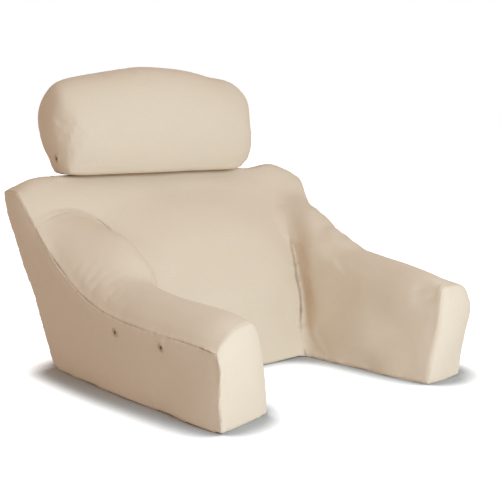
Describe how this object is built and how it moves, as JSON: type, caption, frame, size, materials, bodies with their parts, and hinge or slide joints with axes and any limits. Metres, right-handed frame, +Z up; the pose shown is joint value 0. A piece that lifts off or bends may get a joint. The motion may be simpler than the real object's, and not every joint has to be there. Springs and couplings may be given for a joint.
{
  "type": "backrest pillow",
  "caption": "Reclined cotton back cushion with a sewn arm at each side and a bolster headrest standing on its top.",
  "frame": {"origin": "on the floor, under the middle of the whole pillow's box", "axes": "+X across to the sitter's left arm as seen from the front right, -Y towards the open front where the arms end, +Z up"},
  "size_m": [0.8041, 0.7782, 0.6751],
  "materials": {
    "cover": "matt woven cotton, undyed cream",
    "eyelet": "thread-bound ring, a little darker than the cover"
  },
  "bodies": {
    "root": {"body": "cover", "headrest": "cover", "eyelet_left_rear": "eyelet", "eyelet_left_front": "eyelet", "eyelet_right_rear": "eyelet", "eyelet_right_front": "eyelet", "eyelet_headrest_left": "eyelet", "eyelet_headrest_right": "eyelet"}
  },
  "joints": []
}
